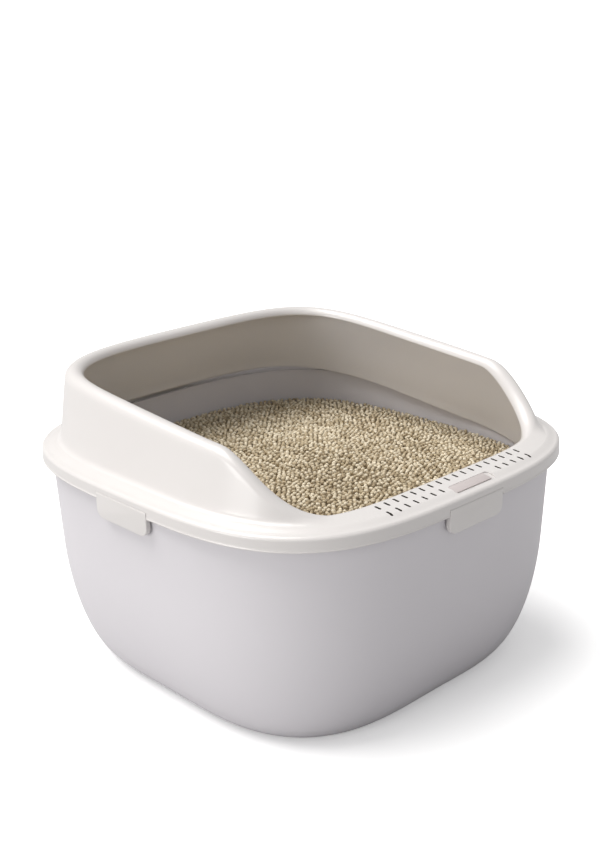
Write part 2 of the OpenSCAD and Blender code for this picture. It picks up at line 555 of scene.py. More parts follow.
class FinishWiring(Wiring):
    """A new material's nodes, round its Principled shader."""

    def __init__(self, name: str) -> None:
        """Make the material.

        Args:
            name: Name of the material.
        """
        self.material = bpy.data.materials.new(name)
        self.material.use_nodes = True
        super().__init__(self.material.node_tree)
        self.shader = self.tree.nodes["Principled BSDF"]

    def group(self, group: NodeTree, values: dict[str, float]) -> NodeSocket:
        """Place a shared group.

        Args:
            group: The group.
            values: Its inputs, by name.

        Returns:
            The group's output.
        """
        node = self.tree.nodes.new("ShaderNodeGroup")
        node.node_tree = group
        return self.fill(node, values).outputs[0]

    def bump(self, height: NodeSocket, strength: float, depth: float) -> NodeSocket:
        """Turn a height into a normal.

        Args:
            height: The height, from 0 to 1.
            strength: Strength of the bump.
            depth: Depth of a height of 1, in metres.

        Returns:
            The normal.
        """
        values = {"Height": height, "Strength": strength, "Distance": depth}
        return self.add("ShaderNodeBump", values).outputs["Normal"]

    def done(self, values: dict[str, object]) -> Material:
        """Feed the shader's inputs and return the material."""
        self.fill(self.shader, values)
        return self.material


@dataclass(frozen=True)
class MouldedPlastic:
    """An injection-moulded plastic skin."""

    name: str
    colour: Colour
    drift: Colour
    roughness: float
    worn_roughness: float
    fine: float
    peel: float
    relief: float
    dust: float
    coat: float = 0.0
    coat_roughness: float = 0.16
    tone: float = 0.75
    rub: float = 0.5
    scratch: float = 0.35
    depth: float = 0.0004
    ior: float = 1.49

    def build(self, kit: ShaderKit) -> Material:
        """Make the material.

        Args:
            kit: The shared groups.

        Returns:
            The material.
        """
        make = FinishWiring(self.name)
        tone = make.group(kit.tone, {"Amount": self.tone})
        wear = make.group(kit.wear, {"Rub": self.rub, "Scratch": self.scratch, "Dust": self.dust})
        grain = make.group(kit.grain, {"Fine": self.fine, "Peel": self.peel})
        return make.done({
            "Base Color": make.ramp(tone, self.colour, self.drift).outputs["Color"],
            "Roughness": make.span(wear, self.roughness, self.worn_roughness),
            "Normal": make.bump(grain, self.relief, self.depth),
            "IOR": self.ior,
            "Coat Weight": self.coat,
            "Coat Roughness": self.coat_roughness,
        })


@dataclass(frozen=True)
class PelletStuff:
    """Pressed plant-fibre litter, from pale to toasted."""

    name: str = "pellet_litter"
    dark: Colour = (0.20, 0.135, 0.075, 1.0)
    middle: Colour = (0.48, 0.39, 0.255, 1.0)
    pale: Colour = (0.76, 0.675, 0.52, 1.0)
    middle_at: float = 0.45
    tint_share: float = 0.75
    drift: float = 0.45
    fine: float = 1.0
    peel: float = 0.4
    relief: float = 0.7
    depth: float = 0.0005
    roughness: float = 0.72
    worn_roughness: float = 0.95

    def build(self, kit: ShaderKit) -> Material:
        """Make the material, which reads each pellet's own tint.

        Args:
            kit: The shared groups.

        Returns:
            The material.
        """
        make = FinishWiring(self.name)
        tint = make.tree.nodes.new("ShaderNodeAttribute")
        tint.attribute_name = TINT
        drift = make.group(kit.tone, {"Amount": self.drift})
        shade = make.maths("MULTIPLY_ADD", tint.outputs["Fac"], self.tint_share, drift)
        ramp = make.ramp(shade, self.dark, self.pale)
        ramp.color_ramp.elements.new(self.middle_at).color = self.middle
        grain = make.group(kit.grain, {"Fine": self.fine, "Peel": self.peel})
        return make.done({
            "Base Color": ramp.outputs["Color"],
            "Roughness": make.span(grain, self.roughness, self.worn_roughness),
            "Normal": make.bump(grain, self.relief, self.depth),
        })


@dataclass(frozen=True)
class PinSteel:
    """Drawn steel wire, with fine rubbed lines."""

    name: str = "pin_steel"
    bright: Colour = (0.62, 0.62, 0.63, 1.0)
    dull: Colour = (0.42, 0.42, 0.43, 1.0)
    roughness: float = 0.22
    worn_roughness: float = 0.5
    rub: float = 0.8
    scratch: float = 0.6

    def build(self, kit: ShaderKit) -> Material:
        """Make the material.

        Args:
            kit: The shared groups.

        Returns:
            The material.
        """
        make = FinishWiring(self.name)
        wear = make.group(kit.wear, {"Rub": self.rub, "Scratch": self.scratch, "Dust": 0.0})
        return make.done({
            "Base Color": make.ramp(wear, self.bright, self.dull).outputs["Color"],
            "Roughness": make.span(wear, self.roughness, self.worn_roughness),
            "Metallic": 1.0,
        })


class Palette:
    """Every finish on the box."""

    def __init__(self) -> None:
        """Build the materials."""
        kit = ShaderKit()
        self.tub: Material = MouldedPlastic(
            name="tub_plastic", colour=(0.62, 0.60, 0.622, 1.0), drift=(0.60, 0.58, 0.602, 1.0),
            roughness=0.42, worn_roughness=0.62, fine=0.8, peel=0.5, relief=0.16, dust=0.2,
        ).build(kit)
        self.guard: Material = MouldedPlastic(
            name="guard_plastic", colour=(0.632, 0.608, 0.595, 1.0),
            drift=(0.612, 0.588, 0.572, 1.0), roughness=0.26, worn_roughness=0.46,
            fine=0.15, peel=0.9, relief=0.10, dust=0.35, coat=0.25,
        ).build(kit)
        self.badge: Material = MouldedPlastic(
            name="badge_plastic", colour=(0.50, 0.455, 0.447, 1.0), drift=(0.465, 0.42, 0.41, 1.0),
            roughness=0.5, worn_roughness=0.7, fine=1.0, peel=0.2, relief=0.25, dust=0.3,
        ).build(kit)
        # Near-black plastic for the slots' cut faces: painted shade that stands in for the dark
        # inside the slots.
        self.grime: Material = MouldedPlastic(
            name="slot_dust", colour=(0.055, 0.048, 0.042, 1.0), drift=(0.10, 0.09, 0.075, 1.0),
            roughness=0.7, worn_roughness=0.95, fine=1.0, peel=0.6, relief=0.4, dust=0.0,
        ).build(kit)
        self.pellets: Material = PelletStuff().build(kit)
        self.steel: Material = PinSteel().build(kit)


@dataclass
class Tub:
    """The deep tub that holds the litter."""

    plan: BoxPlan
    bottom_rise: float = 0.123
    bottom_run: float = 0.042
    foot_height: float = 0.0016
    middle: float = 0.03
    foot_scales: tuple[float, ...] = (0.35, 0.7, 0.86, 0.9)
    foot_edge: tuple[Point, ...] = ((0.905, 0.00112), (0.915, 0.0002), (0.93, 0.0))
    outer_levels: tuple[float, ...] = (0.15, 0.18, 0.2)
    inner_levels: tuple[float, ...] = (0.19, 0.17, 0.15)
    floor_scales: tuple[float, ...] = (0.7, 0.35, 0.03)
    bend_steps: int = 18
    rim_steps: int = 6

    def inset(self, z: float, depth: float) -> float:
        """Inset from the rim's outline.

        Args:
            z: Height.
            depth: Depth in the wall, from its outer face.

        Returns:
            The inset in metres.
        """
        lean = self.plan.tub_lean * max(self.plan.rim_z - z, 0.0)
        low = (self.bottom_rise - z) / (self.bottom_rise - depth)
        bend = 0.0
        if low > 0.0:
            bend = (self.bottom_run - depth) * (1.0 - math.sqrt(max(1.0 - low * low, 0.0)))
        return lean + depth + bend

    def rows(self) -> list[Triple]:
        """Rings from the underside's middle to the floor's middle.

        Returns:
            Each ring's scale, inset and height.
        """
        wall, rim = self.plan.tub_wall, self.plan.rim_z
        edge = wall / 2
        flat = self.inset(0.0, 0.0)
        rows = [(self.middle, 0.0, self.foot_height)]
        rows += [(scale, flat, self.foot_height) for scale in self.foot_scales]
        rows += [(scale, flat, z) for scale, z in self.foot_edge]
        for step in range(self.bend_steps + 1):
            z = self.bottom_rise * (1.0 - math.cos(math.radians(90.0 * step / self.bend_steps)))
            rows.append((1.0, self.inset(z, 0.0), z))
        rows += [(1.0, self.inset(z, 0.0), z) for z in self.outer_levels]
        rows.append((1.0, 0.0, rim))
        top = (edge, rim + self.plan.rim_up - edge)
        rows += [(1.0, inward, z) for inward, z in arc(top, edge, 180.0, 0.0, self.rim_steps)]
        rows.append((1.0, wall, rim))
        rows += [(1.0, self.inset(z, wall), z) for z in self.inner_levels]
        for step in range(self.bend_steps, -1, -1):
            down = math.cos(math.radians(90.0 * step / self.bend_steps))
            z = self.bottom_rise - (self.bottom_rise - wall) * down
            rows.append((1.0, self.inset(z, wall), z))
        rows += [(scale, self.inset(wall, wall), wall) for scale in self.floor_scales]
        return rows

    def build(self, palette: Palette) -> Object:
        """Make the tub.

        Args:
            palette: The finishes.

        Returns:
            The tub's object.
        """
        reaches = [(turn, self.plan.tub.reach(turn)) for turn in self.plan.turns()]
        rings = [
            [around(turn, (reach - inset) * scale, z) for turn, reach in reaches]
            for scale, inset, z in self.rows()
        ]
        tub = into_object("tub_shell", Loft.through(rings, capped=True), palette.tub)
        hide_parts("tub")
        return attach(tub, "tub")


@dataclass
class LatchPlan:
    """Sizes of a latch and of its room in the skirt, in metres, drawn at the front side."""

    plan: BoxPlan
    width: float = 0.073
    drop: float = 0.0175
    thickness: float = 0.0052
    corner: float = 0.009
    seam: float = 0.0003
    pin_grip: float = 0.005
    axis_up: float = 0.002

    @property
    def barrel(self) -> float:
        """Radius of the hinge barrel."""
        return self.thickness / 2

    @property
    def axis_z(self) -> float:
        """Height of the hinge axis."""
        return self.plan.rim_z + self.barrel + self.axis_up

    def seat(self, side: Side) -> Matrix:
        """Matrix that takes a piece drawn at the skirt's face to its side."""
        reach = self.plan.half_length if side in (Side.FRONT, Side.BACK) else self.plan.half_width
        return side.turn @ Matrix.Translation((0.0, -reach, 0.0))

    def rod(
        self, mesh: BMesh, radius: float, length: float, place: Matrix, steps: int
    ) -> list[BMVert]:
        """Add a rod along the hinge axis.

        Args:
            mesh: The bmesh to add to.
            radius: Radius of the rod.
            length: Length of the rod.
            place: Matrix that carries the rod to its side.
            steps: Number of the rod's sides.

        Returns:
            The rod's vertices.
        """
        lay = Matrix.Translation((0.0, self.barrel, self.axis_z)) @ Matrix.Rotation(QUARTER, 4, "Y")
        return bmesh.ops.create_cone(
            mesh, cap_ends=True, segments=steps, radius1=radius, radius2=radius, depth=length,
            matrix=place @ lay,
        )["verts"]


@dataclass
class BadgePlate:
    """The blank plate let into the entry ledge."""

    plan: BoxPlan
    width: float = 0.049
    depth: float = 0.011
    centre_x: float = 0.0055
    room: float = 0.005
    inset: float = 0.0135
    recess_deep: float = 0.0016
    recess_up: float = 0.006
    thickness: float = 0.001
    shelf_z: float = 0.0172
    tilt: float = math.atan2(SHELF_RISE, SHELF_WIDTH) / 2
    slip: float = 0.0003
    reveal: float = 0.0012
    recess_corner: float = 0.0032
    plate_corner: float = 0.0006
    plate_edge: float = 0.00025

    def _seat(self) -> Matrix:
        """Matrix of the plate's middle on the ledge."""
        where = (self.centre_x, self.inset - self.plan.half_length, self.plan.rim_z + self.shelf_z)
        return Matrix.Translation(where) @ Matrix.Rotation(self.tilt, 4, "X")

    @staticmethod
    def _slab(low: Vector, high: Vector, corner: float) -> BMesh:
        """A slab with rounded upright corners.

        Args:
            low: Lowest corner.
            high: Highest corner.
            corner: Width of the rounding.

        Returns:
            The slab's mesh.
        """
        mesh = bmesh.new()
        add_block(mesh, low, high, Matrix.Identity(4))
        upright = [e for e in mesh.edges if abs(e.verts[0].co.z - e.verts[1].co.z) > TINY]
        soften(mesh, upright, corner, 5)
        return mesh

    def recess(self) -> BMesh:
        """The recess that the ledge is cut with, a little wider to the right and the front.

        Returns:
            The recess as a solid.
        """
        half_w, half_d = self.width / 2, self.depth / 2
        low = Vector((-half_w - self.slip, -half_d - self.reveal, -self.recess_deep))
        high = Vector((half_w + self.room + self.slip, half_d + self.slip, self.recess_up))
        mesh = self._slab(low, high, self.recess_corner)
        bmesh.ops.transform(mesh, matrix=self._seat(), verts=mesh.verts)
        return mesh

    def build(self, palette: Palette) -> Object:
        """Make the plate with softened edges.

        Args:
            palette: The finishes.

        Returns:
            The plate's object.
        """
        half_w, half_d = self.width / 2, self.depth / 2
        low = Vector((-half_w, -half_d, -self.recess_deep))
        high = Vector((half_w, half_d, self.thickness - self.recess_deep))
        mesh = self._slab(low, high, self.plate_corner)
        rim = [e for e in mesh.edges if min(v.co.z for v in e.verts) > high.z - TINY]
        soften(mesh, rim, self.plate_edge, 2)
        bmesh.ops.transform(mesh, matrix=self._seat(), verts=mesh.verts)
        plate = into_object("badge_plate_blank", mesh, palette.badge, crease=60.0)
        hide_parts("badge_plate")
        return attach(plate, "guard")


@dataclass
class SplashGuard:
    """The guard that clips on the tub: skirt, shelf, raised wall, rolled lip and entry ledge."""

    plan: BoxPlan
    latch: LatchPlan
    wall: float = 0.0025
    skirt_h: float = 0.014
    edge_r: float = 0.005
    bead_r: float = 0.0009
    bead_sink: float = 0.45
    bead_top: float = 2.1
    bead_end: float = 140.0
    shelf_w: float = SHELF_WIDTH
    shelf_rise: float = SHELF_RISE
    wall_h: float = 0.061
    wall_slope: float = 0.07
    fillet_r: float = 0.0067
    roll_r: float = 0.0103
    lip_r: float = 0.0088
    lip_turn: float = 75.0
    least_wall: float = 0.0015
    crown_run: float = 0.021
    drop_start: float = 0.103
    drop_end: float = 0.200
    opening_in: Triple = (0.0477, 0.0427, 0.0587)
    opening_power: float = 5.0
    leg_gap: float = 0.0005
    leg_down: float = 0.006
    leg_slope: float = 0.11
    leg_level: float = 0.130
    leg_edge: float = 0.0006
    slot_columns: int = 18
    slot_pitch: float = 0.0112
    slot_length: float = 0.007
    slot_width: float = 0.002
    slot_flare: float = 2.2
    slot_depth: float = 0.009
    slot_sides: int = 14
    slot_rows: tuple[float, float] = (0.0175, 0.0305)
    room_down: float = 0.02
    room_out: float = 0.01
    room_sides: int = 28
    socket_back: float = 0.0050
    socket_sink: float = 0.6
    socket_edge: float = 0.0005
    short_steps: int = 3
    skirt_steps: int = 4
    tip_steps: int = 5
    bend_steps: int = 7
    wall_steps: int = 8
    roll_steps: int = 9

    @property
    def opening(self) -> Outline:
        """Outline of the guard's opening."""
        side, front, back = self.opening_in
        wide, long = self.plan.half_width, self.plan.half_length
        return Outline(wide - side, long - front, long - back, self.opening_power)

    @property
    def foot(self) -> Point:
        """Where the shelf meets the raised wall, as (inset, height)."""
        return self.edge_r + self.shelf_w, self.skirt_h + self.shelf_rise

    def section(self, turn: float) -> list[Point]:
        """The guard's closed section at an angle.

        Args:
            turn: Angle about the middle, in radians.

        Returns:
            Its points, as (inset, height above the skirt's lower edge).
        """
        out = self.plan.skirt.reach(turn)
        lean, (top_u, top_z) = self._wall_top(turn, out)
        rise, lip_end = math.degrees(lean), 90.0 - self.lip_turn
        fillet = (self.foot[0], self.foot[1] + self.fillet_r)
        crown, lip = (top_u, top_z - self.roll_r), (top_u, top_z - self.lip_r)
        roll = arc(crown, self.roll_r, 90.0 + rise, 90.0, self.roll_steps)
        points = self._skirt_outer()
        points += along(points[-1], self.foot, self.short_steps)
        points += arc(fillet, self.fillet_r, 270.0, 270.0 + rise, self.bend_steps)
        points += along(points[-1], roll[0], self.wall_steps) + roll
        points += arc(lip, self.lip_r, 90.0, lip_end, self.roll_steps)[1:] + self._lip_edge(lip)
        points += arc(lip, self.lip_r - self.wall, lip_end, 90.0, self.bend_steps)[:-1]
        points += arc(crown, self.roll_r - self.wall, 90.0, 90.0 + rise, self.roll_steps)
        return points + self._leg(turn, out, points[-1], math.tan(lean)) + self._skirt_inner()

    def _wall_top(self, turn: float, out: float) -> tuple[float, Point]:
        """The raised wall's lean and top, where it runs straight between its two fillets.

        Args:
            turn: Angle about the middle, in radians.
            out: Distance from the middle to the skirt.

        Returns:
            The lean in radians, and the top as (inset, height).
        """
        foot_u, foot_z = self.foot
        y = (out - foot_u) * math.sin(turn)
        drop = smooth_step((y + self.drop_end) / (self.drop_end - self.drop_start))
        height = max((self.wall_h + self.wall_slope * y) * drop, self.least_wall)
        lip_run = self.lip_r * math.sin(math.radians(self.lip_turn))
        run = out - self.opening.reach(turn) - foot_u - lip_run
        both = self.fillet_r + self.roll_r
        far = math.hypot(run, height - both)
        lean = math.atan2(height - both, run) + math.asin(both / far)
        slant = math.sqrt(far * far - both * both)
        return lean, (foot_u + both * math.sin(lean) + slant * math.cos(lean), foot_z + height)

    def _leg(self, turn: float, out: float, face: Point, steep: float) -> list[Point]:
        """The raised wall's inner face and the leg that reaches down inside the tub.

        Args:
            turn: Angle about the middle, in radians.
            out: Distance from the middle to the skirt.
            face: Upper end of the inner face.
            steep: Slope of the inner face.

        Returns:
            The points from the inner face to the skirt's underside.
        """
        low = self.leg_slope * max(out * math.sin(turn), -self.leg_level) - self.leg_down
        lean_in = self.plan.tub_lean * (self.leg_down + self.leg_slope * self.leg_level)
        leg_u = out - self.plan.tub.reach(turn) + self.plan.tub_wall + self.leg_gap
        bend_u = max(leg_u + lean_in + self.wall, face[0] - (face[1] - low - self.wall) / steep)
        bend = (bend_u, face[1] - (face[0] - bend_u) * steep)
        toe = (leg_u + lean_in, low)
        share = min((leg_u - self.edge_r) / self.shelf_w, 1.0)
        under = (leg_u, self.skirt_h - self.wall + self.shelf_rise * share)
        middle = (bend_u - self.leg_edge, low + self.leg_edge)
        heel = arc(middle, self.leg_edge, 360.0, 270.0, self.short_steps)
        points = along(face, bend, self.wall_steps) + [bend] + heel + [toe]
        return points + along(toe, under, self.short_steps) + [under]

    def _skirt_outer(self) -> list[Point]:
        """The skirt's outer face, from its rounded lower edge to the top of the rounded edge.

        Returns:
            The points, as (inset, height).
        """
        bead, sunk = self.bead_r, self.bead_r * self.bead_sink
        corner = (self.edge_r, self.skirt_h - self.edge_r)
        rows = [(self.wall / 2, 0.0)]
        rows += arc((bead, bead), bead, 270.0, self.bead_end, self.bend_steps)
        rows += [(sunk, bead * self.bead_top)]
        rows += along(rows[-1], (sunk, corner[1]), self.skirt_steps)
        rounded = arc(corner, self.edge_r, 180.0, 90.0, self.wall_steps)
        return rows + [(max(inset, sunk), height) for inset, height in rounded]

    def _skirt_inner(self) -> list[Point]:
        """The skirt's inner face, from the underside of the edge down to the lower edge.

        Returns:
            The points, as (inset, height).
        """
        edge = self.wall / 2
        corner = (self.edge_r, self.skirt_h - self.edge_r)
        rows = arc(corner, self.edge_r - self.wall, 90.0, 180.0, self.skirt_steps)
        rows += along(rows[-1], (self.wall, edge), self.short_steps)
        return rows + arc((edge, edge), edge, 360.0, 270.0, self.skirt_steps)[:-1]

    def _lip_edge(self, lip: Point) -> list[Point]:
        """The half-round edge at the lip's end.

        Args:
            lip: Middle of the lip's arc.

        Returns:
            The edge's points, without its ends.
        """
        start = 90.0 - self.lip_turn
        middle, end = self.lip_r - self.wall / 2, math.radians(start)
        centre = (lip[0] + middle * math.cos(end), lip[1] + middle * math.sin(end))
        return arc(centre, self.wall / 2, start, start - 180.0, self.tip_steps)[1:-1]

    def ledge_z(self, inset: float) -> float:
        """Height of the entry ledge's upper face, half way across.

        Args:
            inset: Distance in from the skirt's front.

        Returns:
            The height.
        """
        past = inset - self.edge_r - self.shelf_w
        rise = self.shelf_rise * (1.0 + min(past, 0.0) / self.shelf_w)
        crown = self.least_wall * smooth_step(max(past, 0.0) / self.crown_run)
        return self.plan.rim_z + self.skirt_h + rise + crown

    def build(self, palette: Palette, badge: BadgePlate) -> Object:
        """Make the guard.

        Args:
            palette: The finishes.
            badge: The plate that the ledge's recess is cut for.

        Returns:
            The guard's object.
        """
        turns = self.plan.turns()
        reaches = [self.plan.skirt.reach(turn) for turn in turns]
        rings = [
            [
                around(turn, reach - inset, self.plan.rim_z + height)
                for turn, reach, (inset, height) in zip(turns, reaches, row)
            ]
            for row in zip(*(self.section(turn) for turn in turns))
        ]
        mesh = Loft.through(rings, capped=False)
        guard = into_object("splash_guard_shell", mesh, palette.guard)
        # The slots' cut faces take the near-black plastic, which is painted shade for the dark
        # inside the slots.
        cut(guard, self._slots(badge), palette.grime)
        cut(guard, badge.recess())
        cut(guard, self._latch_rooms())
        sockets = self._sockets(palette)
        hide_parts("splash_guard")
        for piece in (guard, sockets):
            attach(piece, "guard")
        return guard

    def _slots(self, badge: BadgePlate) -> BMesh:
        """Drafted slots through the ledge, left out of the outer row where the badge sits.

        Args:
            badge: The plate to leave room for.

        Returns:
            The slots as solids.
        """
        tool = bmesh.new()
        first = -(self.slot_columns - 1) / 2 * self.slot_pitch
        radius = self.slot_width / 2
        taken = (badge.width + badge.room + self.slot_pitch) / 2
        for column in range(self.slot_columns):
            x = first + column * self.slot_pitch
            beside = abs(x - badge.centre_x - badge.room / 2) > taken
            for inset in self.slot_rows if beside else self.slot_rows[1:]:
                z = self.ledge_z(inset) - self.slot_depth / 3
                centre = Vector((x, inset - self.plan.half_length, z))
                verts = bmesh.ops.create_cone(
                    tool, cap_ends=True, segments=self.slot_sides,
                    radius1=radius * self.slot_flare, radius2=radius, depth=self.slot_depth,
                    matrix=Matrix.Translation(centre),
                )["verts"]
                for vert in verts:
                    off = vert.co.y - centre.y
                    if abs(off) > TINY:
                        vert.co.y += math.copysign(self.slot_length / 2 - radius, off)
        return tool

    def _latch_rooms(self) -> BMesh:
        """Room for each latch: open below its axis, and round above it.

        Returns:
            The rooms as solids.
        """
        tool = bmesh.new()
        width = self.latch.width + 2 * self.latch.seam
        radius = self.latch.barrel + self.latch.seam
        axis = self.latch.axis_z
        for side in Side:
            verts = self.latch.rod(tool, radius, width, Matrix.Identity(4), self.room_sides)
            for vert in verts:
                if vert.co.z < axis - TINY:
                    vert.co.z -= self.room_down
                    vert.co.y = -self.room_out if vert.co.y < self.latch.barrel else radius * 2
                elif vert.co.z < axis + TINY and vert.co.y < 0.0:
                    vert.co.y = -self.room_out
            bmesh.ops.transform(tool, matrix=self.latch.seat(side), verts=verts)
        bmesh.ops.remove_doubles(tool, verts=tool.verts, dist=TINY / 10)
        return tool

    def _sockets(self, palette: Palette) -> Object:
        """The eight sockets behind the skirt that hold the hinge pins' ends.

        Args:
            palette: The finishes.

        Returns:
            The sockets' object.
        """
        mesh = bmesh.new()
        inner = self.latch.width / 2 + self.latch.seam
        outer = inner + self.latch.pin_grip + self.latch.seam
        half, axis = self.latch.barrel, self.latch.axis_z
        for side in Side:
            for end in (-1, 1):
                near, far = sorted((end * inner, end * outer))
                low = Vector((near, self.wall * self.socket_sink, axis - half))
                high = Vector((far, self.socket_back, axis + half))
                add_block(mesh, low, high, self.latch.seat(side), edge=self.socket_edge)
        return into_object("hinge_sockets", mesh, palette.guard)


@dataclass
class Latch:
    """One hinged latch: a tab with round lower corners, hung from a barrel."""

    sizes: LatchPlan
    side: Side
    edge: float = 0.0009
    corner_steps: int = 8
    barrel_sides: int = 40

    def build(self, palette: Palette) -> Object:
        """Make the latch on its side.

        Args:
            palette: The finishes.

        Returns:
            The latch's object.
        """
        sizes = self.sizes
        half = sizes.width / 2
        seat = sizes.seat(self.side)
        low = sizes.plan.rim_z - sizes.drop
        corner = (half - sizes.corner, low + sizes.corner)
        right = arc(corner, sizes.corner, 270.0, 360.0, self.corner_steps)
        left = [(-x, z) for x, z in reversed(right)]
        mesh = bmesh.new()
        outline = left + right + [(half, sizes.axis_z), (-half, sizes.axis_z)]
        verts = [mesh.verts.new((x, 0.0, z)) for x, z in outline]
        face = bmesh.ops.contextual_create(mesh, geom=verts)["faces"][0]
        made = bmesh.ops.extrude_face_region(mesh, geom=[face])["geom"]
        back = [item for item in made if isinstance(item, BMVert)]
        bmesh.ops.translate(mesh, vec=(0.0, sizes.thickness, 0.0), verts=back)
        bmesh.ops.recalc_face_normals(mesh, faces=mesh.faces)
        rim = [
            e for e in mesh.edges
            if abs(e.verts[0].co.y - e.verts[1].co.y) < TINY
            and min(v.co.z for v in e.verts) < sizes.axis_z - TINY
        ]
        soften(mesh, rim, self.edge, 3)
        bmesh.ops.transform(mesh, matrix=seat, verts=mesh.verts)
        sizes.rod(mesh, sizes.barrel, sizes.width, seat, self.barrel_sides)
        latch = into_object(f"latch_{self.side.label}_tab", mesh, palette.guard)
        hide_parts(f"latch_{self.side.label}")
        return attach(latch, f"latch_{self.side.label}")


